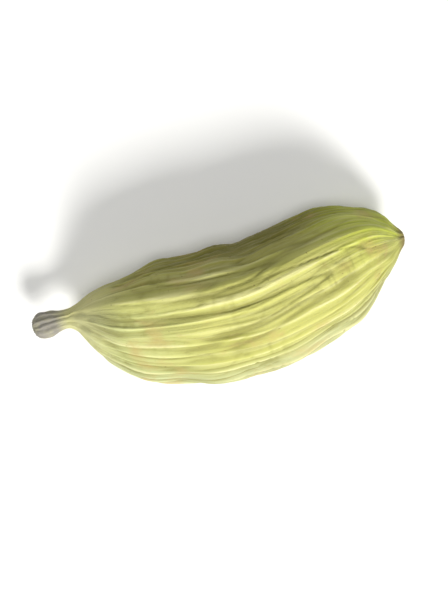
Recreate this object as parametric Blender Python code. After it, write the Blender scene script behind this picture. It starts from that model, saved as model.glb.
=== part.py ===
"""A dried green cardamom pod, lying on one of its three faces.

The pod grew as one piece, so it is one closed body: the stump of its stalk, the ribbed husk with three blunt
angles, and the small beak at the other end. It lies along X, stalk first, with one angle up, and its husk
bends a little towards -Y. The origin is at the middle of the ground that it covers.
"""

import math

import bmesh
import bpy
from mathutils import Vector

MM = 0.001

# Driving dimensions of the pod
LENGTH = 16.1 * MM
GIRTH_RADIUS = 2.76 * MM
BOW = 1.3 * MM
REST_DEPTH = 0.14 * MM

# The outline: share of the length from the cut end of the stalk, and share of the girth radius
STALK_OUTLINE = ((0.0, 0.11), (0.008, 0.16), (0.03, 0.19), (0.056, 0.165), (0.083, 0.118), (0.108, 0.135))
HUSK_OUTLINE = ((0.155, 0.37), (0.217, 0.66), (0.311, 0.865), (0.429, 0.96), (0.534, 1.0), (0.658, 0.97),
                (0.783, 0.91), (0.885, 0.715), (0.95, 0.41))
BEAK_OUTLINE = ((0.976, 0.22), (0.99, 0.14), (1.0, 0.095))
OUTLINE = STALK_OUTLINE + HUSK_OUTLINE + BEAK_OUTLINE

# The middle line: share of the length, share of the bow towards -Y, and drop below its highest point
MIDDLE_LINE = ((0.0, 0.04, 0.95 * MM), (0.1, 0.0, 0.76 * MM), (0.16, 0.14, 0.58 * MM), (0.24, 0.5, 0.36 * MM),
               (0.37, 0.8, 0.12 * MM), (0.55, 1.0, 0.0), (0.68, 0.73, 0.08 * MM), (0.79, 0.34, 0.28 * MM),
               (0.9, 0.0, 0.56 * MM), (1.0, 0.0, 0.85 * MM))

# The three angles of the husk
ANGLES = 3
FLATNESS = 0.11
ANGLE_CREST = 0.08
ANGLE_SHARPNESS = 8
TOP_ANGLE_LEAN = math.radians(15)
TWIST = math.radians(5)

# Where the husk's relief rises from the stalk and dies away towards the beak, as shares of the length
HUSK_BEGINS = (0.09, 0.26)
HUSK_ENDS = (0.88, 0.985)

# The ribs that run from stalk to beak: uneven in strength, slightly wavy, and crowded together in five places
RIBS = 30
RIB_HEIGHT = 0.085 * MM
RIB_NARROWNESS = 1.5
RIB_UNEVENNESS = 0.3
RIB_CHANGE_ROUND = 2.4
RIB_CHANGE_ALONG = 5.0
RIB_WANDER = math.radians(2.2)
WANDER_PHASE = 0.6
CROWDS = 5
CROWDING = math.radians(2.4)
CROWD_DRIFT = 2.6

# The seeds that swell the skin, in two rows beside each angle
SEED_PITCH = 2.7 * MM
SEED_SWELL = 0.075 * MM
SEED_SHIFT = 1.7

# The stalk is a little oval, and its cut end and the beak's tip are hollowed
STALK_OVAL = 0.09
STALK_OVAL_TURN = 0.5
END_HOLLOW = 0.05 * MM

# How finely the surface is drawn
POINTS_A_RIB = 4
COLUMNS = RIBS * POINTS_A_RIB
RINGS = 42
TANGENT_STEP = 0.004
SHARP_EDGE = math.radians(50)

SKIN_COLOUR = (0.36, 0.34, 0.10, 1.0)
SKIN_ROUGHNESS = 0.6


def clear_scene():
    for thing in list(bpy.data.objects):
        bpy.data.objects.remove(thing)


def smooth_through(stations, share, column=1):
    """Read one column of the stations at a share of the length, on a smooth curve through them."""
    count = len(stations)
    start = 0
    while start < count - 2 and stations[start + 1][0] < share:
        start += 1
    before, after = stations[start], stations[start + 1]
    span = after[0] - before[0]

    def slope(index):
        low = stations[max(index - 1, 0)]
        high = stations[min(index + 1, count - 1)]
        return (high[column] - low[column]) / (high[0] - low[0])

    part = (share - before[0]) / span
    rise = after[column] - before[column]
    bend_in = slope(start) * span - rise
    bend_out = rise - slope(start + 1) * span
    curve = (1.0 - part) * bend_in + part * bend_out
    return before[column] + part * rise + part * (1.0 - part) * curve


def fade(low, high, value):
    """Go smoothly from 0 at low to 1 at high."""
    part = min(max((value - low) / (high - low), 0.0), 1.0)
    return part * part * (3.0 - 2.0 * part)


def husk_share(share):
    """How much of the husk's own relief there is: none on the stalk and the beak, all of it between."""
    return fade(*HUSK_BEGINS, share) * (1.0 - fade(*HUSK_ENDS, share))


def middle_point(share):
    """The middle line of the pod, before it is set down."""
    side = -BOW * smooth_through(MIDDLE_LINE, share, 1)
    height = -smooth_through(MIDDLE_LINE, share, 2)
    return Vector((LENGTH * share, side, height))


def turn_from_angle(turn, share):
    """Turn round the middle line, counted from the top angle and stretched to the three uneven faces."""
    twisted = turn - TWIST * (share - 0.5)
    top = math.pi / 2 - TOP_ANGLE_LEAN
    return twisted + TOP_ANGLE_LEAN * math.cos((twisted - top) / 2) ** 2 - math.pi / 2


def three_angled(across):
    """The section's swelling at its three angles and flatness between them, as a share of the radius."""
    wave = math.cos(ANGLES * across)
    return FLATNESS * wave + ANGLE_CREST * max(wave, 0.0) ** ANGLE_SHARPNESS


def stray(plain_turn, share):
    """How far the ribs stray round the pod: all of them together, and towards each other in some places."""
    together = RIB_WANDER * math.sin(2 * math.pi * share + WANDER_PHASE)
    return together + CROWDING * math.sin(CROWDS * plain_turn + CROWD_DRIFT * share)


def rib_rise(plain_turn, share):
    """The height of the ribs: some are stronger than others, and each is narrower than its furrow."""
    rib_phase = RIBS * plain_turn
    number = round(rib_phase / (2 * math.pi)) % RIBS
    change = math.sin(RIB_CHANGE_ROUND * number + RIB_CHANGE_ALONG * share)
    strength = 1.0 - RIB_UNEVENNESS * (1.0 - change)
    return RIB_HEIGHT * strength * ((1.0 + math.cos(rib_phase)) / 2) ** RIB_NARROWNESS


def seed_rise(across, share):
    """The low swellings over the seeds, which lie in two staggered rows beside each angle."""
    side = math.sin(ANGLES * across)
    angle_number = math.floor((across + math.pi / ANGLES) / (2 * math.pi / ANGLES)) % ANGLES
    stagger = math.pi if side > 0 else 0.0
    along = 2 * math.pi * LENGTH * share / SEED_PITCH
    return SEED_SWELL * side * side * math.cos(along + stagger + SEED_SHIFT * angle_number)


def skin_point(share, column):
    """A point of the skin: where along the pod, and which of the columns round it."""
    plain_turn = 2 * math.pi * column / COLUMNS
    turn = plain_turn + stray(plain_turn, share)
    across = turn_from_angle(turn, share)
    thickness = smooth_through(OUTLINE, share)
    husk = husk_share(share)
    oval = STALK_OVAL * math.cos(2 * turn + STALK_OVAL_TURN)
    radius = GIRTH_RADIUS * thickness * (1.0 + husk * three_angled(across) + (1.0 - husk) * oval)
    radius += husk * (thickness * rib_rise(plain_turn, share) + seed_rise(across, share))

    ahead = middle_point(min(share + TANGENT_STEP, 1.0)) - middle_point(max(share - TANGENT_STEP, 0.0))
    sideways = Vector((0.0, 0.0, 1.0)).cross(ahead).normalized()
    upwards = ahead.cross(sideways).normalized()
    return middle_point(share) + radius * (math.cos(turn) * sideways + math.sin(turn) * upwards)


def ring_shares():
    """Where the rings lie along the pod: close together at the ends, where the outline turns fast."""
    return [0.5 - 0.5 * math.cos(math.pi * ring / RINGS) for ring in range(RINGS + 1)]


def pod_mesh():
    shape = bmesh.new()
    rings = []
    for share in ring_shares():
        rings.append([shape.verts.new(skin_point(share, column)) for column in range(COLUMNS)])
    for low_ring, high_ring in zip(rings, rings[1:]):
        for column in range(COLUMNS):
            beside = (column + 1) % COLUMNS
            shape.faces.new((low_ring[column], low_ring[beside], high_ring[beside], high_ring[column]))
    for ring, end, inward in ((rings[0], 0.0, END_HOLLOW), (rings[-1], 1.0, -END_HOLLOW)):
        centre = shape.verts.new(middle_point(end) + Vector((inward, 0.0, 0.0)))
        for column in range(COLUMNS):
            shape.faces.new((ring[column], centre, ring[(column + 1) % COLUMNS]))
    set_down(shape)
    bmesh.ops.recalc_face_normals(shape, faces=shape.faces[:])
    bmesh.ops.triangulate(shape, faces=shape.faces[:])
    mesh = bpy.data.meshes.new("pod")
    shape.to_mesh(mesh)
    shape.free()
    return mesh


def set_down(shape):
    """Centre the pod over the origin and press its lowest part into a small flat spot to rest on."""
    places = [vertex.co for vertex in shape.verts]
    low = Vector([min(place[axis] for place in places) for axis in range(3)])
    high = Vector([max(place[axis] for place in places) for axis in range(3)])
    middle = (low + high) / 2
    for vertex in shape.verts:
        vertex.co -= Vector((middle.x, middle.y, low.z + REST_DEPTH))
        vertex.co.z = max(vertex.co.z, 0.0)


def skin_material():
    material = bpy.data.materials.new("pod_skin")
    material.use_nodes = True
    shader = material.node_tree.nodes["Principled BSDF"]
    shader.inputs["Base Color"].default_value = SKIN_COLOUR
    shader.inputs["Roughness"].default_value = SKIN_ROUGHNESS
    shader.inputs["Metallic"].default_value = 0.0
    material.diffuse_color = SKIN_COLOUR
    return material


def make_pod():
    mesh = pod_mesh()
    mesh.shade_smooth()
    mesh.set_sharp_from_angle(angle=SHARP_EDGE)
    mesh.materials.append(skin_material())
    pod = bpy.data.objects.new("pod", mesh)
    bpy.context.collection.objects.link(pod)
    return pod


clear_scene()
make_pod()
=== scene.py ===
# %% [markdown]
# # A dried green cardamom pod
#
# This lesson makes the finish of one green cardamom pod, about 16 mm long. A pod is a small dry fruit: a
# papery husk with three blunt angles, fine ribs that run from end to end, the stump of a stalk at one end
# and a small beak at the other. It grew as one piece, so it is one mesh here too. The order is the same
# as a carver's: first the rough form, then the ribs and dents, then the colour of the skin, and last the
# light.
#
# The measured solid of the pod is loaded first. It is never changed. The piece made here takes its place
# in the picture, at the same size and in the same spot.

# %% Load the measured solid
import math

import bmesh
import bpy
from mathutils import Matrix, Vector, noise


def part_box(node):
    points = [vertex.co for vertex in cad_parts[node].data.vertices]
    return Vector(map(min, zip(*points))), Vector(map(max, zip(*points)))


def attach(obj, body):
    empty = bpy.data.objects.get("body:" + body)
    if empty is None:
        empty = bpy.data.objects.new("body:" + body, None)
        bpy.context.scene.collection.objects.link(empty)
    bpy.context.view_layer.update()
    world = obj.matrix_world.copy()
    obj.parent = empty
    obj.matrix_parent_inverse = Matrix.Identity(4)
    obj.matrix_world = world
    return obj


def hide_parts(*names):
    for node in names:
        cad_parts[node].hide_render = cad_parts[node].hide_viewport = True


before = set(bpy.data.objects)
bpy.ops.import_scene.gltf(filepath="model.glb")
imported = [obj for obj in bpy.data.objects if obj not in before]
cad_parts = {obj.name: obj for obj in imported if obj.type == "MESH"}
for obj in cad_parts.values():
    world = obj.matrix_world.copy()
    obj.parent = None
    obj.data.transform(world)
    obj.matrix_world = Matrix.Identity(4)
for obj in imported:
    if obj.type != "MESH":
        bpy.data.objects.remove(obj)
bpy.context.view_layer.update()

MM = 0.001
solid_low, solid_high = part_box("pod")
solid_size = solid_high - solid_low
print("the solid measures", [round(side / MM, 2) for side in solid_size], "mm")

# %% [markdown]
# ## The sizes that the pod grows from
#
# A pod has no straight edges, so it can't be drawn from a box. It can be described by two simple curves
# instead. The outline says how thick the pod is at each place along it, and the middle line says how it
# bends. Both are short lists: a share of the length, then a value. A smooth curve is read through them,
# as a draughtsman bends a thin batten round a few nails. The same curves made the solid, so the two forms
# agree.

# %% The outline and the middle line
LENGTH = 16.1 * MM
GIRTH_RADIUS = 2.76 * MM
BOW = 1.3 * MM

STALK_OUTLINE = ((0.0, 0.11), (0.008, 0.16), (0.03, 0.19), (0.056, 0.165), (0.083, 0.118), (0.108, 0.135))
HUSK_OUTLINE = ((0.155, 0.37), (0.217, 0.66), (0.311, 0.865), (0.429, 0.96), (0.534, 1.0), (0.658, 0.97),
                (0.783, 0.91), (0.885, 0.715), (0.95, 0.41))
BEAK_OUTLINE = ((0.976, 0.22), (0.99, 0.14), (1.0, 0.095))
OUTLINE = STALK_OUTLINE + HUSK_OUTLINE + BEAK_OUTLINE

# Share of the length, share of the bow towards -Y, and drop below the highest point
MIDDLE_LINE = ((0.0, 0.04, 0.95 * MM), (0.1, 0.0, 0.76 * MM), (0.16, 0.14, 0.58 * MM), (0.24, 0.5, 0.36 * MM),
               (0.37, 0.8, 0.12 * MM), (0.55, 1.0, 0.0), (0.68, 0.73, 0.08 * MM), (0.79, 0.34, 0.28 * MM),
               (0.9, 0.0, 0.56 * MM), (1.0, 0.0, 0.85 * MM))


def smooth_through(stations, share, column=1):
    """Read one column of the stations at a share of the length, on a smooth curve through them."""
    count = len(stations)
    start = 0
    while start < count - 2 and stations[start + 1][0] < share:
        start += 1
    before, after = stations[start], stations[start + 1]
    span = after[0] - before[0]

    def slope(index):
        low = stations[max(index - 1, 0)]
        high = stations[min(index + 1, count - 1)]
        return (high[column] - low[column]) / (high[0] - low[0])

    part = (share - before[0]) / span
    rise = after[column] - before[column]
    bend_in = slope(start) * span - rise
    bend_out = rise - slope(start + 1) * span
    curve = (1.0 - part) * bend_in + part * bend_out
    return before[column] + part * rise + part * (1.0 - part) * curve


def middle_point(share):
    """The middle line of the pod, before it is set down."""
    return Vector((LENGTH * share, -BOW * smooth_through(MIDDLE_LINE, share, 1),
                   -smooth_through(MIDDLE_LINE, share, 2)))


def fade(low, high, value):
    """Go smoothly from 0 at low to 1 at high."""
    part = min(max((value - low) / (high - low), 0.0), 1.0)
    return part * part * (3.0 - 2.0 * part)


print("thickest", round(2 * GIRTH_RADIUS / MM, 2), "mm, bent", BOW / MM, "mm to one side")

# %% [markdown]
# ## A plain tube with rings
#
# The husk starts as a plain cylinder laid along X, closed at both ends by a fan of triangles. Bisect cuts
# rings round it. They lie close together at the stalk and the beak, where the outline turns fast, and
# wide apart on the long sides. A sphere would also do as a start, but its rings get narrow towards the
# poles, and here the ends need their own small shapes.

# %% Add the tube and cut the rings
SIDES = 45
RINGS = 31
RING_SHARES = [0.5 - 0.5 * math.cos(math.pi * ring / RINGS) for ring in range(RINGS + 1)]

bpy.ops.object.select_all(action="DESELECT")
bpy.ops.mesh.primitive_cylinder_add(vertices=SIDES, radius=GIRTH_RADIUS, depth=LENGTH, end_fill_type="TRIFAN",
                                    location=(LENGTH / 2, 0.0, 0.0), rotation=(0.0, math.pi / 2, 0.0))
pod = bpy.context.object
pod.name = "cardamom_pod"
pod.data.name = "cardamom_pod"
bpy.ops.object.transform_apply(location=True, rotation=True, scale=True)

bpy.ops.object.mode_set(mode="EDIT")
bpy.ops.mesh.select_mode(type="VERT")
for share in RING_SHARES[1:-1]:
    bpy.ops.mesh.select_all(action="SELECT")
    bpy.ops.mesh.bisect(plane_co=(share * LENGTH, 0.0, 0.0), plane_no=(1.0, 0.0, 0.0))
bpy.ops.object.mode_set(mode="OBJECT")
print("tube with", len(pod.data.vertices), "points and", len(pod.data.polygons), "faces")

# %% [markdown]
# ## Remember the plain tube
#
# Soon the tube will be squeezed and bent. Before that, every point writes down where it is now, in an
# attribute called grain. The attribute stays with the point through all later steps. Read as a place
# along the tube and a turn round it, it says where the ribs run, and in the material it makes streaks
# that follow the husk and meet at its ends. A UV map could do the same, but it would have a seam, and the
# streaks would break there.

# %% Store the grain
grain = pod.data.attributes.new("grain", "FLOAT_VECTOR", "POINT")
for point in pod.data.vertices:
    grain.data[point.index].vector = point.co
print("grain stored on", len(grain.data), "points")

# %% [markdown]
# ## Shape the tube ring by ring
#
# Each ring is picked by its grain, scaled to the outline, turned to face along the middle line and moved
# onto it. By hand this is select, S, R and G, ring after ring. Proportional editing with fewer steps is
# quicker, but it rounds off the thin neck between the husk and the knob of the stalk.

# %% Scale, turn and move each ring
RING_TOLERANCE = 0.0005 * MM
TANGENT_STEP = 0.004


def select_ring(shape, share):
    """In edit mode, select the points whose grain lies on one ring."""
    cage = bmesh.from_edit_mesh(shape.data)
    plain = cage.verts.layers.float_vector["grain"]
    for corner in cage.verts:
        corner.select_set(abs(corner[plain].x - share * LENGTH) < RING_TOLERANCE)
    cage.select_flush_mode()
    bmesh.update_edit_mesh(shape.data)


def place_ring(shape, share):
    """Give one ring its thickness, its tilt and its place on the middle line."""
    select_ring(shape, share)
    start = Vector((share * LENGTH, 0.0, 0.0))
    thickness = smooth_through(OUTLINE, share)
    ahead = middle_point(min(share + TANGENT_STEP, 1.0)) - middle_point(max(share - TANGENT_STEP, 0.0))
    level = math.hypot(ahead.x, ahead.y)
    bpy.ops.transform.resize(value=(1.0, thickness, thickness), center_override=start)
    bpy.ops.transform.rotate(value=math.atan2(ahead.z, level), orient_axis="Y", center_override=start)
    bpy.ops.transform.rotate(value=-math.atan2(ahead.y, ahead.x), orient_axis="Z", center_override=start)
    bpy.ops.transform.translate(value=middle_point(share) - start)


bpy.ops.object.mode_set(mode="EDIT")
for share in RING_SHARES:
    place_ring(pod, share)
bpy.ops.object.mode_set(mode="OBJECT")
print("shaped", len(RING_SHARES), "rings")

# %% [markdown]
# ## Round it off
#
# A Subdivision Surface modifier splits each face and smooths the form. Three levels give twelve points
# from one rib to the next, enough to draw a rib a sixth of a millimetre wide. It is applied, because the
# ribs are pushed into real points next.

# %% Subdivide and apply
SMOOTHING_LEVELS = 3


def select_alone(thing):
    """Select one object, and nothing else."""
    bpy.ops.object.select_all(action="DESELECT")
    bpy.context.view_layer.objects.active = thing
    thing.select_set(True)


rounding = pod.modifiers.new("rounding", "SUBSURF")
rounding.levels = SMOOTHING_LEVELS
rounding.render_levels = SMOOTHING_LEVELS
select_alone(pod)
bpy.ops.object.modifier_apply(modifier=rounding.name)
print("now", len(pod.data.vertices), "points")

# %% [markdown]
# ## Three angles, ribs and seeds
#
# The husk has three blunt angles, because its seeds lie in three chambers. In section, a cosine with
# three waves swells the angles and flattens the faces between them, and a narrow crest sharpens each
# angle. Thirty ribs run from end to end. They are as thin as cords, and crowd together in five places.
# The seeds press on the skin in two staggered rows beside each angle. All of these follow rules, so they
# are raised by formulas. A sculpting brush could do it, but it would take hours to draw thirty ribs
# without a break.

# %% The rules of the relief
ANGLES = 3
FLATNESS = 0.11
ANGLE_CREST = 0.08
ANGLE_SHARPNESS = 8
TOP_ANGLE_LEAN = math.radians(15)
TWIST = math.radians(5)
HUSK_BEGINS = (0.09, 0.26)
HUSK_ENDS = (0.88, 0.985)

RIBS = 30
RIB_HEIGHT = 0.085 * MM
RIB_NARROWNESS = 3.6
RIB_UNEVENNESS = 0.3
RIB_CHANGE_ROUND = 2.4
RIB_CHANGE_ALONG = 5.0
RIB_WANDER = math.radians(2.2)
WANDER_PHASE = 0.6
CROWDS = 5
CROWDING = math.radians(2.4)
CROWD_DRIFT = 2.6

SEED_PITCH = 2.7 * MM
SEED_SWELL = 0.075 * MM
SEED_SHIFT = 1.7

STALK_OVAL = 0.09
STALK_OVAL_TURN = 0.5


def husk_share(share):
    """How much of the husk's own relief there is: none on the stalk and the beak, all of it between."""
    return fade(*HUSK_BEGINS, share) * (1.0 - fade(*HUSK_ENDS, share))


def stray(plain_turn, share):
    """How far the ribs stray round the pod: all of them together, and towards each other in some places."""
    together = RIB_WANDER * math.sin(2 * math.pi * share + WANDER_PHASE)
    return together + CROWDING * math.sin(CROWDS * plain_turn + CROWD_DRIFT * share)


def turn_from_angle(turn, share):
    """Turn round the middle line, counted from the top angle and stretched to the three uneven faces."""
    twisted = turn - TWIST * (share - 0.5)
    top = math.pi / 2 - TOP_ANGLE_LEAN
    return twisted + TOP_ANGLE_LEAN * math.cos((twisted - top) / 2) ** 2 - math.pi / 2


def three_angled(across):
    """The section's swelling at its three angles and flatness between them, as a share of the radius."""
    wave = math.cos(ANGLES * across)
    return FLATNESS * wave + ANGLE_CREST * max(wave, 0.0) ** ANGLE_SHARPNESS


def seed_rise(across, share):
    """The low swellings over the seeds, which lie in two staggered rows beside each angle."""
    side = math.sin(ANGLES * across)
    angle_number = math.floor((across + math.pi / ANGLES) / (2 * math.pi / ANGLES)) % ANGLES
    stagger = math.pi if side > 0 else 0.0
    along = 2 * math.pi * LENGTH * share / SEED_PITCH
    return SEED_SWELL * side * side * math.cos(along + stagger + SEED_SHIFT * angle_number)


print(RIBS, "ribs,", round(2 * math.pi * GIRTH_RADIUS / RIBS / MM, 2), "mm apart at the girth")

# %% [markdown]
# ## What drying does
#
# A fresh pod is smooth and full. As it dries, the skin sinks between the ribs and folds into long
# creases, the faces dent, and small wrinkles run across the furrows. No two ribs stay alike. Blender's
# noise gives such chance shapes, and gives the same ones each time. It is read on the grain, stretched
# along the pod, so that dents are longer than they are wide. Where smooth noise passes through zero it
# draws a thin winding line, which makes a good crease.

# %% Sizes of the dents, creases and fibres
DENT_DEPTH = 0.12 * MM
DENT_LENGTH = 3.4 * MM
DENT_WIDTH = 1.7 * MM

# How far each rib drifts to the side, and how much its strength is left to chance
RIB_DRIFT = 0.9
RIB_DRIFT_LENGTH = 3.0 * MM
RIB_DRIFT_WIDTH = 2.0 * MM
RIB_CHANCE = 0.3
RIB_PATCH_LENGTH = 2.6 * MM
RIB_PATCH_WIDTH = 1.2 * MM

# Creases run along the pod, broad ones and fine ones
CREASE_DEPTH = 0.09 * MM
CREASE_LENGTH = 4.6 * MM
CREASE_WIDTH = 0.78 * MM
CREASE_WINDING = 1.2
CREASE_SHARPNESS = 14
FINE_CREASE_DEPTH = 0.035 * MM
FINE_CREASE_LENGTH = 2.4 * MM
FINE_CREASE_WIDTH = 0.42 * MM
FINE_CREASE_SHARPNESS = 9

# Wrinkles run across the pod, in patches
WRINKLE_DEPTH = 0.040 * MM
WRINKLE_PITCH = 0.62 * MM
WRINKLE_WIDTH = 1.5 * MM
WRINKLE_WINDING = 2.2
WRINKLE_SHARPNESS = 7
WRINKLE_PATCH_LENGTH = 2.5 * MM
WRINKLE_PATCH_WIDTH = 1.2 * MM
WRINKLE_PATCH_EDGE = (0.0, 0.45)

FIBRE_HEIGHT = 0.036 * MM
FIBRE_LENGTH = 2.2 * MM
FIBRE_WIDTH = 0.15 * MM

# The bark of the stalk, as shares of its radius, and its ragged cut end
BARK_DEPTH = 0.09
BARK_LENGTH = 0.42 * MM
BARK_WIDTH = 1.3 * MM
BARK_FIBRES = 11
BARK_FIBRE_DEPTH = 0.06
BARK_FIBRE_STRAY = 1.5
CUT_ROUGHNESS = 0.10 * MM
CUT_PATCH = 1.0 * MM

# The creases and the narrow ribs lower the skin a little on the whole, and this makes up for it
FULLNESS = 0.035 * MM

print("in mm: dents", DENT_DEPTH / MM, "creases", CREASE_DEPTH / MM, "fibres", FIBRE_HEIGHT / MM)

# %% [markdown]
# ## Noise with a place for each shape
#
# Blender's noise is one endless landscape. Each chance shape reads it at a place of its own, set by its
# seed, so that the dents don't fall where the creases do. A line is drawn where the noise passes through
# zero. The place is first pushed aside by more noise, because plain noise is zero on an even lattice and
# would draw its lines in rows.

# %% The chance shapes
DENT_SEED = 2.0
RIB_DRIFT_SEED = 5.0
RIB_CHANCE_SEED = 9.0
WRINKLE_PATCH_SEED = 14.0
WRINKLE_SEED = 17.0
BARK_SEED = 21.0
CREASE_SEED = 31.0
CUT_SEED = 41.0
FIBRE_SEED = 51.0
FINE_CREASE_SEED = 61.0
WANDER_SCALE = 0.6
WANDER_STEPS = (3.3, 6.7, 9.1)


def noise_place(plain, length, width, seed):
    """Where to read the noise, so that its patches have this length and width on the grain."""
    return Vector((plain.x / length + seed, plain.y / width - seed, plain.z / width + 2.0 * seed))


def chance(plain, length, width, seed):
    """Smooth noise from -1 to 1."""
    return noise.noise(noise_place(plain, length, width, seed))


def chance_line(plain, length, width, seed, winding, sharpness):
    """Thin lines that wander, so that they don't line up in rows: 1 on a line, and 0 away from it."""
    place = noise_place(plain, length, width, seed)
    aside = [noise.noise(WANDER_SCALE * place + Vector((step, -step, 2.0 * step))) for step in WANDER_STEPS]
    return (1.0 - abs(noise.noise(place + winding * Vector(aside)))) ** sharpness


def rib_rise(plain_turn, share, plain):
    """The height of the ribs: each is narrow, and is stronger in some stretches than in others."""
    drift = RIB_DRIFT * chance(plain, RIB_DRIFT_LENGTH, RIB_DRIFT_WIDTH, RIB_DRIFT_SEED)
    rib_phase = RIBS * plain_turn + drift
    number = round(rib_phase / (2 * math.pi)) % RIBS
    change = math.sin(RIB_CHANGE_ROUND * number + RIB_CHANGE_ALONG * share)
    patch = chance(plain, RIB_PATCH_LENGTH, RIB_PATCH_WIDTH, RIB_CHANCE_SEED)
    strength = 1.0 - RIB_UNEVENNESS * (1.0 - change) + RIB_CHANCE * patch
    return RIB_HEIGHT * strength * ((1.0 + math.cos(rib_phase)) / 2) ** RIB_NARROWNESS


def drying_fall(plain):
    """How far the dried skin has sunk, in long creases and in small wrinkles across them."""
    crease = chance_line(plain, CREASE_LENGTH, CREASE_WIDTH, CREASE_SEED, CREASE_WINDING, CREASE_SHARPNESS)
    fine_crease = chance_line(plain, FINE_CREASE_LENGTH, FINE_CREASE_WIDTH, FINE_CREASE_SEED, CREASE_WINDING,
                              FINE_CREASE_SHARPNESS)
    wrinkle = chance_line(plain, WRINKLE_PITCH, WRINKLE_WIDTH, WRINKLE_SEED, WRINKLE_WINDING,
                          WRINKLE_SHARPNESS)
    patch = chance(plain, WRINKLE_PATCH_LENGTH, WRINKLE_PATCH_WIDTH, WRINKLE_PATCH_SEED)
    where = fade(*WRINKLE_PATCH_EDGE, patch)
    return CREASE_DEPTH * crease + FINE_CREASE_DEPTH * fine_crease + WRINKLE_DEPTH * where * wrinkle


def stalk_change(turn, plain):
    """The rough dry bark of the stalk's stump and of the beak, as a share of the radius."""
    bark = chance(plain, BARK_LENGTH, BARK_WIDTH, BARK_SEED)
    return BARK_DEPTH * bark + BARK_FIBRE_DEPTH * math.cos(BARK_FIBRES * turn + BARK_FIBRE_STRAY * bark)


print("each shape has a seed of its own, from", DENT_SEED, "to", FINE_CREASE_SEED)

# %% [markdown]
# ## Push the relief into the skin
#
# Every point first slides round the middle line, as far as the ribs stray there, and then moves straight
# out from it: the section gets its three angles, and the ribs, seeds, dents and creases are added to its
# radius. How high a point lies among the ribs and creases is kept in a second attribute called rib,
# because the material paints the crests paler than the furrows: the dark furrows are partly painted shade,
# and the pale crests partly a painted highlight.

# %% Move the points
rib_mark = pod.data.attributes.new("rib", "FLOAT", "POINT")
grain = pod.data.attributes["grain"]
for point in pod.data.vertices:
    plain = grain.data[point.index].vector
    share = min(max(plain.x / LENGTH, 0.0), 1.0)
    plain_turn = math.atan2(plain.z, plain.y)
    turn = plain_turn + stray(plain_turn, share)
    middle = middle_point(share)
    ahead = middle_point(min(share + TANGENT_STEP, 1.0)) - middle_point(max(share - TANGENT_STEP, 0.0))
    outward = Matrix.Rotation(turn - plain_turn, 3, ahead.normalized()) @ (point.co - middle)
    cut_face = 1.0 - fade(0.0, CUT_ROUGHNESS, plain.x)
    ragged = CUT_ROUGHNESS * cut_face * chance(plain, CUT_PATCH, BARK_LENGTH, CUT_SEED)

    thickness = smooth_through(OUTLINE, share)
    husk = husk_share(share)
    across = turn_from_angle(turn, share)
    oval = STALK_OVAL * math.cos(2 * turn + STALK_OVAL_TURN)
    form = husk * three_angled(across) + (1.0 - husk) * (oval + stalk_change(turn, plain))
    ribs = rib_rise(plain_turn, share, plain)
    sunk = drying_fall(plain)
    dents = DENT_DEPTH * chance(plain, DENT_LENGTH, DENT_WIDTH, DENT_SEED)
    fibres = FIBRE_HEIGHT * chance(plain, FIBRE_LENGTH, FIBRE_WIDTH, FIBRE_SEED)
    relief = thickness * (FULLNESS + ribs - sunk + dents + fibres) + seed_rise(across, share)
    point.co = middle + outward * (1.0 + form) + outward.normalized() * husk * relief
    point.co.x += ragged
    rib_mark.data[point.index].value = husk * (ribs - sunk) / RIB_HEIGHT
print("moved", len(pod.data.vertices), "points")

# %% [markdown]
# ## Set it down
#
# A loose pod lies on one of its faces, and its weight rests on a small flat spot. The piece is moved into
# the box of the measured solid, and whatever hangs below the table is pressed up to it.

# %% Move the pod into its place and press the flat spot
def corners_of(shape):
    """The lowest and highest corner of a mesh."""
    places = [point.co for point in shape.data.vertices]
    low = Vector([min(place[axis] for place in places) for axis in range(3)])
    high = Vector([max(place[axis] for place in places) for axis in range(3)])
    return low, high


low, high = corners_of(pod)
shift = (solid_low + solid_high) / 2 - (low + high) / 2
shift.z = solid_high.z - high.z
pod.data.transform(Matrix.Translation(shift))
for point in pod.data.vertices:
    point.co.z = max(point.co.z, 0.0)
select_alone(pod)
bpy.ops.object.shade_smooth()
low, high = corners_of(pod)
print("the pod measures", [round(side / MM, 2) for side in high - low], "mm, with its lowest point at", low.z)

# %% [markdown]
# ## The skin
#
# Dried husk is a thin, pale, olive-green paper. Its colour comes in layers: an even olive yellow, painted
# shade of muted brown olive on the side that points to +Y and darkest at its middle, a pale dull sage on the
# belly edge that is painted light and shade, painted light near the stalk on the lit side, fresher green
# towards the beak, fine streaks along the grain, furrows darkened as painted shade, pale straw crests on the
# ribs that are paler on the lit side as a painted highlight, faint tan blotches, a few dark specks, and a
# grey, woody stalk. Each layer is one noise or attribute and one mix, stacked from the broadest to the
# finest.
# A photograph wrapped round the pod would be quicker, but it would carry its own light and could not be
# reused.

# %% Colours of the skin
OLIVE_YELLOW = (0.485, 0.480, 0.135, 1.0)
LEAF_GREEN = (0.300, 0.310, 0.050, 1.0)
PAINTED_SHADE_OLIVE = (0.190, 0.168, 0.018, 1.0)
PAINTED_DEEP_SHADE_OLIVE = (0.110, 0.100, 0.010, 1.0)
TIP_GREEN = (0.480, 0.550, 0.045, 1.0)
PAINTED_LIGHT_SAGE = (0.565, 0.635, 0.350, 1.0)
BELLY_EDGE_LIGHT_AND_SHADE_SAGE = (0.400, 0.425, 0.270, 1.0)
STRAW = (0.640, 0.610, 0.310, 1.0)
STREAK_AND_FURROW_SHADE_GREEN = (0.200, 0.190, 0.045, 1.0)
TAN = (0.420, 0.300, 0.110, 1.0)
SPECK_BROWN = (0.120, 0.080, 0.030, 1.0)
STALK_GREY = (0.265, 0.248, 0.210, 1.0)
BEAK_BROWN = (0.190, 0.140, 0.055, 1.0)

skin = bpy.data.materials.new("pod_skin")
skin.use_nodes = True
tree = skin.node_tree
shader = tree.nodes["Principled BSDF"]
print("the tree starts with", len(tree.nodes), "nodes")

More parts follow.
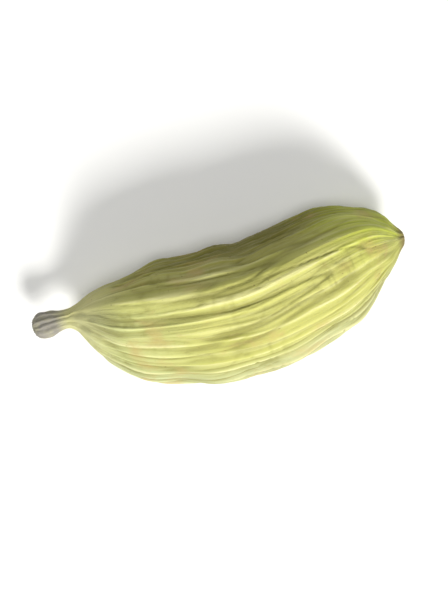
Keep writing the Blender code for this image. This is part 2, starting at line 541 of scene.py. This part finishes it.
# %% [markdown]
# Four small helpers keep the layers short to write: one makes noise that is stretched along the grain, one
# turns a value into an amount, one multiplies two amounts, and one lays a colour over the others. Then come
# the values that the layers read: the grain, the ribs, and the place on the pod.

# %% Helpers and values to read
def add_node(kind, **settings):
    """Add a node and set its own properties."""
    node = tree.nodes.new(kind)
    for name, value in settings.items():
        setattr(node, name, value)
    return node


def join(source, target):
    """Link an output to an input."""
    tree.links.new(source, target)


def stretched_noise(coordinates, along, across, detail=3.0, roughness=0.55):
    """Noise with patches of this length along the pod and this width across it, in metres."""
    stretch = add_node("ShaderNodeMapping")
    stretch.inputs["Scale"].default_value = (1.0 / along, 1.0 / across, 1.0 / across)
    join(coordinates, stretch.inputs["Vector"])
    pattern = add_node("ShaderNodeTexNoise")
    pattern.inputs["Scale"].default_value = 1.0
    pattern.inputs["Detail"].default_value = detail
    pattern.inputs["Roughness"].default_value = roughness
    join(stretch.outputs["Vector"], pattern.inputs["Vector"])
    return pattern.outputs["Fac"]


def ramp_between(value, low, high, at_low=0.0, at_high=1.0):
    """Map a value onto another range, smoothly, and hold it at both ends."""
    reach = add_node("ShaderNodeMapRange", interpolation_type="SMOOTHSTEP", clamp=True)
    reach.inputs["From Min"].default_value = low
    reach.inputs["From Max"].default_value = high
    reach.inputs["To Min"].default_value = at_low
    reach.inputs["To Max"].default_value = at_high
    join(value, reach.inputs["Value"])
    return reach.outputs["Result"]


def times(first, second):
    """Multiply two values."""
    product = add_node("ShaderNodeMath", operation="MULTIPLY")
    join(first, product.inputs[0])
    join(second, product.inputs[1])
    return product.outputs["Value"]


def lay_over(under, colour, amount):
    """Mix a colour over what is already there, by an amount from 0 to 1."""
    blend = add_node("ShaderNodeMix", data_type="RGBA")
    join(amount, blend.inputs["Factor"])
    if isinstance(under, tuple):
        blend.inputs["A"].default_value = under
    else:
        join(under, blend.inputs["A"])
    blend.inputs["B"].default_value = colour
    return blend.outputs["Result"]


grain_node = add_node("ShaderNodeAttribute", attribute_name="grain")
rib_node = add_node("ShaderNodeAttribute", attribute_name="rib")
place_node = add_node("ShaderNodeTexCoord")
split = add_node("ShaderNodeSeparateXYZ")
join(grain_node.outputs["Vector"], split.inputs["Vector"])
along_grain = grain_node.outputs["Vector"]
place = place_node.outputs["Object"]
from_stalk = split.outputs["X"]
rib_crest = rib_node.outputs["Fac"]
print("the tree has", len(tree.nodes), "nodes")

# %% [markdown]
# The broad colours come first. The pod is darker on one side, which is painted shade, and greener near the
# beak, so these layers read which way the skin faces and how far it is from the stalk.

# %% Lay the broad colours
DARK_SIDE_TURN = math.radians(8)

patches = stretched_noise(along_grain, along=5.0 * MM, across=2.0 * MM)
colour = lay_over(OLIVE_YELLOW, LEAF_GREEN, ramp_between(patches, 0.46, 0.72, at_high=0.6))

# How far the skin faces the side painted in shade: 1 in the middle of it, -1 on the far side of the pod
facing = add_node("ShaderNodeVectorMath", operation="DOT_PRODUCT")
join(along_grain, facing.inputs[0])
facing.inputs[1].default_value = (0.0, math.cos(DARK_SIDE_TURN) / GIRTH_RADIUS,
                                  math.sin(DARK_SIDE_TURN) / GIRTH_RADIUS)
to_dark_side = facing.outputs["Value"]

# Painted shade: the side that points to +Y turns a muted brown olive, as it looks turned away from the lamp
on_dark_side = ramp_between(to_dark_side, 0.35, 0.98, at_high=0.85)
past_the_neck = ramp_between(from_stalk, 0.15 * LENGTH, 0.60 * LENGTH, at_low=0.30)
colour = lay_over(colour, PAINTED_SHADE_OLIVE, times(on_dark_side, past_the_neck))

near_tip = ramp_between(from_stalk, 0.70 * LENGTH, 0.92 * LENGTH)
greener_side = ramp_between(to_dark_side, -0.3, 0.6, at_low=0.15, at_high=0.9)
colour = lay_over(colour, TIP_GREEN, times(near_tip, greener_side))

# The belly edge is paler and duller, painted light and shade where it turns away against the bright floor,
# with a little sun bleaching; near the stalk the skin is paler, painted light, except on the dark side
on_belly = ramp_between(to_dark_side, -1.0, -0.70, at_low=0.6, at_high=0.0)
colour = lay_over(colour, BELLY_EDGE_LIGHT_AND_SHADE_SAGE, on_belly)
# Painted light: the lit side near the stalk is washed paler and cooler, as it looks under the lamp
near_stalk = ramp_between(from_stalk, 0.22 * LENGTH, 0.50 * LENGTH, at_low=0.45, at_high=0.0)
off_dark_side = ramp_between(to_dark_side, 0.1, 0.6, at_low=1.0, at_high=0.0)
colour = lay_over(colour, PAINTED_LIGHT_SAGE, times(near_stalk, off_dark_side))
print("the dark side is turned", round(math.degrees(DARK_SIDE_TURN)), "degrees up from +Y")

# %% [markdown]
# Streaks follow the grain. The rib attribute is high on a crest and low in a crease, so one ramp darkens the
# furrows, partly as painted shade, and another makes the crests pale, more so on the lit side as a painted
# highlight.

# %% Lay the streaks and the colours of the ribs
pale_streaks = stretched_noise(along_grain, along=4.5 * MM, across=0.26 * MM, detail=4.0)
colour = lay_over(colour, STRAW, ramp_between(pale_streaks, 0.48, 0.72, at_high=0.5))
dark_streaks = stretched_noise(along_grain, along=2.6 * MM, across=0.16 * MM)
colour = lay_over(colour, STREAK_AND_FURROW_SHADE_GREEN, ramp_between(dark_streaks, 0.50, 0.75, at_high=0.45))

# Partly painted shade: the furrows and creases turn darker green, as shade falls in them
colour = lay_over(colour, STREAK_AND_FURROW_SHADE_GREEN, ramp_between(rib_crest, -0.8, 0.45, at_low=0.75, at_high=0.0))
# The crests are pale straw of their own, and paler on the lit side than on the dark side, as a painted
# highlight
pale_crest = ramp_between(rib_crest, 0.25, 0.85, at_high=0.65)
less_on_dark_side = ramp_between(to_dark_side, 0.20, 0.80, at_low=1.0, at_high=0.45)
colour = lay_over(colour, STRAW, times(pale_crest, less_on_dark_side))

# Painted shade: the middle of the dark side is darkest, but not near the beak
painted_shade_edge = ramp_between(to_dark_side, 0.78, 1.02, at_high=0.60)
before_tip = ramp_between(from_stalk, 0.78 * LENGTH, 0.93 * LENGTH, at_low=1.0, at_high=0.2)
colour = lay_over(colour, PAINTED_DEEP_SHADE_OLIVE, times(painted_shade_edge, times(past_the_neck, before_tip)))

# %% [markdown]
# Blotches and specks lie anywhere, so they read the plain place and not the grain. The neck is paler, the
# stalk is grey and the beak is brown.

# %% Lay the blotches and specks, and colour the two ends
blotches = stretched_noise(place, along=1.9 * MM, across=1.3 * MM, detail=5.0)
colour = lay_over(colour, TAN, ramp_between(blotches, 0.53, 0.72, at_high=0.55))
specks = stretched_noise(place, along=0.13 * MM, across=0.11 * MM, detail=0.0)
colour = lay_over(colour, SPECK_BROWN, ramp_between(specks, 0.82, 0.87, at_high=0.6))

paler_neck = ramp_between(from_stalk, 0.12 * LENGTH, 0.27 * LENGTH, at_low=0.6, at_high=0.0)
colour = lay_over(colour, STRAW, paler_neck)
bark = stretched_noise(place, along=0.5 * MM, across=0.4 * MM, detail=4.0)
on_stalk = ramp_between(from_stalk, 0.055 * LENGTH, 0.105 * LENGTH, at_low=1.0, at_high=0.0)
colour = lay_over(colour, STALK_GREY, times(on_stalk, ramp_between(bark, 0.25, 0.55, at_low=0.75)))
colour = lay_over(colour, BEAK_BROWN, ramp_between(from_stalk, 0.965 * LENGTH, 0.995 * LENGTH, at_high=0.85))
join(colour, shader.inputs["Base Color"])
print("the colour is laid in", sum(node.bl_idname == "ShaderNodeMix" for node in tree.nodes), "layers")

# %% [markdown]
# ## How the skin takes the light
#
# Dry husk is nearly matt, with a faint waxy gloss that changes from fibre to fibre, and a little light
# passes into it. The finest fibres are too small to model, so a Bump node raises them for the light alone.
# Its distance is in metres, so on so small a thing it is a few hundredths of a millimetre.

# %% Gloss, softness and fibres
FIBRE_BUMP = 0.075 * MM
FIBRE_BUMP_STRENGTH = 0.8
PORE_SHARE = 0.35
SKIN_SOFTNESS = 0.2 * MM

fibres = stretched_noise(along_grain, along=1.6 * MM, across=0.11 * MM, detail=4.0)
pores = stretched_noise(place, along=0.12 * MM, across=0.10 * MM)
join(ramp_between(fibres, 0.3, 0.7, at_low=0.56, at_high=0.76), shader.inputs["Roughness"])

height = add_node("ShaderNodeMix", data_type="FLOAT")
height.inputs["Factor"].default_value = PORE_SHARE
join(fibres, height.inputs["A"])
join(pores, height.inputs["B"])
bump = add_node("ShaderNodeBump")
bump.inputs["Strength"].default_value = FIBRE_BUMP_STRENGTH
bump.inputs["Distance"].default_value = FIBRE_BUMP
join(height.outputs["Result"], bump.inputs["Height"])
join(bump.outputs["Normal"], shader.inputs["Normal"])

shader.inputs["Metallic"].default_value = 0.0
shader.inputs["Specular IOR Level"].default_value = 0.30
shader.inputs["Subsurface Weight"].default_value = 0.08
shader.inputs["Subsurface Radius"].default_value = (1.0, 0.8, 0.3)
shader.inputs["Subsurface Scale"].default_value = SKIN_SOFTNESS
pod.data.materials.append(skin)

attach(pod, "root")
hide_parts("pod")
print("the skin now has", len(tree.nodes), "nodes")

# %% [markdown]
# ## The table and the room
#
# The pod lies on a plain pale table. A disc whose rim curls up into a wall has no edge that could show as
# a hard line behind the pod, from any side.

# %% A pale dish for a table
FLOOR_RADIUS = 0.42
WALL_HEIGHT = 0.20
CURL_STEPS = 6
FLAT_TOLERANCE = 0.001 * MM
PAPER_WHITE = (0.90, 0.90, 0.885, 1.0)
PAPER_ROUGHNESS = 0.85

bpy.ops.object.select_all(action="DESELECT")
bpy.ops.mesh.primitive_circle_add(vertices=96, radius=FLOOR_RADIUS, fill_type="NOTHING")
floor = bpy.context.object
floor.name = "table"
bpy.ops.object.mode_set(mode="EDIT")
bpy.ops.mesh.select_mode(type="EDGE")
rim_radius = FLOOR_RADIUS
for step in range(CURL_STEPS):
    rise_angle = math.pi / 2 * (step + 0.5) / CURL_STEPS
    outward = WALL_HEIGHT / CURL_STEPS * math.cos(rise_angle)
    upward = WALL_HEIGHT / CURL_STEPS * math.sin(rise_angle)
    growth = (rim_radius + outward) / rim_radius
    rim_radius += outward
    bpy.ops.mesh.extrude_region_move(TRANSFORM_OT_translate={"value": (0.0, 0.0, upward)})
    bpy.ops.transform.resize(value=(growth, growth, 1.0), center_override=(0.0, 0.0, 0.0))
bpy.ops.mesh.select_all(action="DESELECT")
dish = bmesh.from_edit_mesh(floor.data)
for edge in dish.edges:
    edge.select_set(all(corner.co.z < FLAT_TOLERANCE for corner in edge.verts))
bmesh.update_edit_mesh(floor.data)
bpy.ops.mesh.edge_face_add()
bpy.ops.mesh.select_all(action="SELECT")
bpy.ops.mesh.normals_make_consistent(inside=True)
bpy.ops.object.mode_set(mode="OBJECT")
bpy.ops.object.shade_smooth()

paper = bpy.data.materials.new("pale_paper")
paper.use_nodes = True
paper_shader = paper.node_tree.nodes["Principled BSDF"]
paper_shader.inputs["Base Color"].default_value = PAPER_WHITE
paper_shader.inputs["Roughness"].default_value = PAPER_ROUGHNESS
floor.data.materials.append(paper)
print("the table has", len(floor.data.polygons), "faces")

# %% [markdown]
# ## Light and camera
#
# A soft lamp stands low on the side that the belly of the pod faces, so that this face is bright and the
# one beyond the upper angle falls into shade. A second, weaker lamp overhead and the pale room keep the
# shadows light. The camera looks straight down, and is rolled so that the stalk points to the lower left.
# Its long lens shows the outline without stretching what lies nearer.

# %% Lamps and the room's own light
def add_lamp(name, place, size, power, tint=(1.0, 1.0, 1.0)):
    """A square soft lamp that faces the pod."""
    bpy.ops.object.select_all(action="DESELECT")
    bpy.ops.object.light_add(type="AREA", location=place)
    lamp = bpy.context.object
    lamp.name = name
    lamp.data.shape = "SQUARE"
    lamp.data.size = size
    lamp.data.energy = power
    lamp.data.color = tint
    lamp.rotation_euler = (-Vector(place)).to_track_quat("-Z", "Y").to_euler()
    return lamp


add_lamp("key_lamp", (0.055, -0.296, 0.245), 0.12, 1.85, (1.0, 0.99, 0.97))
add_lamp("top_lamp", (0.0, -0.03, 0.45), 0.22, 0.95)

ROOM_STRENGTH = 0.2
world = bpy.data.worlds.new("soft_room")
world.use_nodes = True
world.node_tree.nodes["Background"].inputs["Color"].default_value = (1.0, 1.0, 1.0, 1.0)
world.node_tree.nodes["Background"].inputs["Strength"].default_value = ROOM_STRENGTH
bpy.context.scene.world = world

# %% The camera
PICTURE_WIDTH, PICTURE_HEIGHT = 448, 614
LENS = 85.0
SENSOR = 36.0
POD_SLOPE = math.radians(13.7)
SHOWN_WIDTH = 18.6 * MM
AIM_HEIGHT = 2.8 * MM
CLIP_START = 1.0 * MM
CLIP_END = 2.0

bpy.ops.object.camera_add()
camera = bpy.context.object
camera.name = "camera"
camera.data.lens = LENS
camera.data.sensor_width = SENSOR
width_on_sensor = SENSOR * PICTURE_WIDTH / PICTURE_HEIGHT
distance = SHOWN_WIDTH * LENS / width_on_sensor
camera.location = (0.0, 0.0, AIM_HEIGHT + distance)
camera.rotation_euler = (0.0, 0.0, -POD_SLOPE)
camera.data.clip_start = CLIP_START
camera.data.clip_end = CLIP_END
bpy.context.scene.camera = camera
bpy.context.scene.view_settings.view_transform = "Standard"
print("the camera is", round(distance / MM, 1), "mm above the pod")
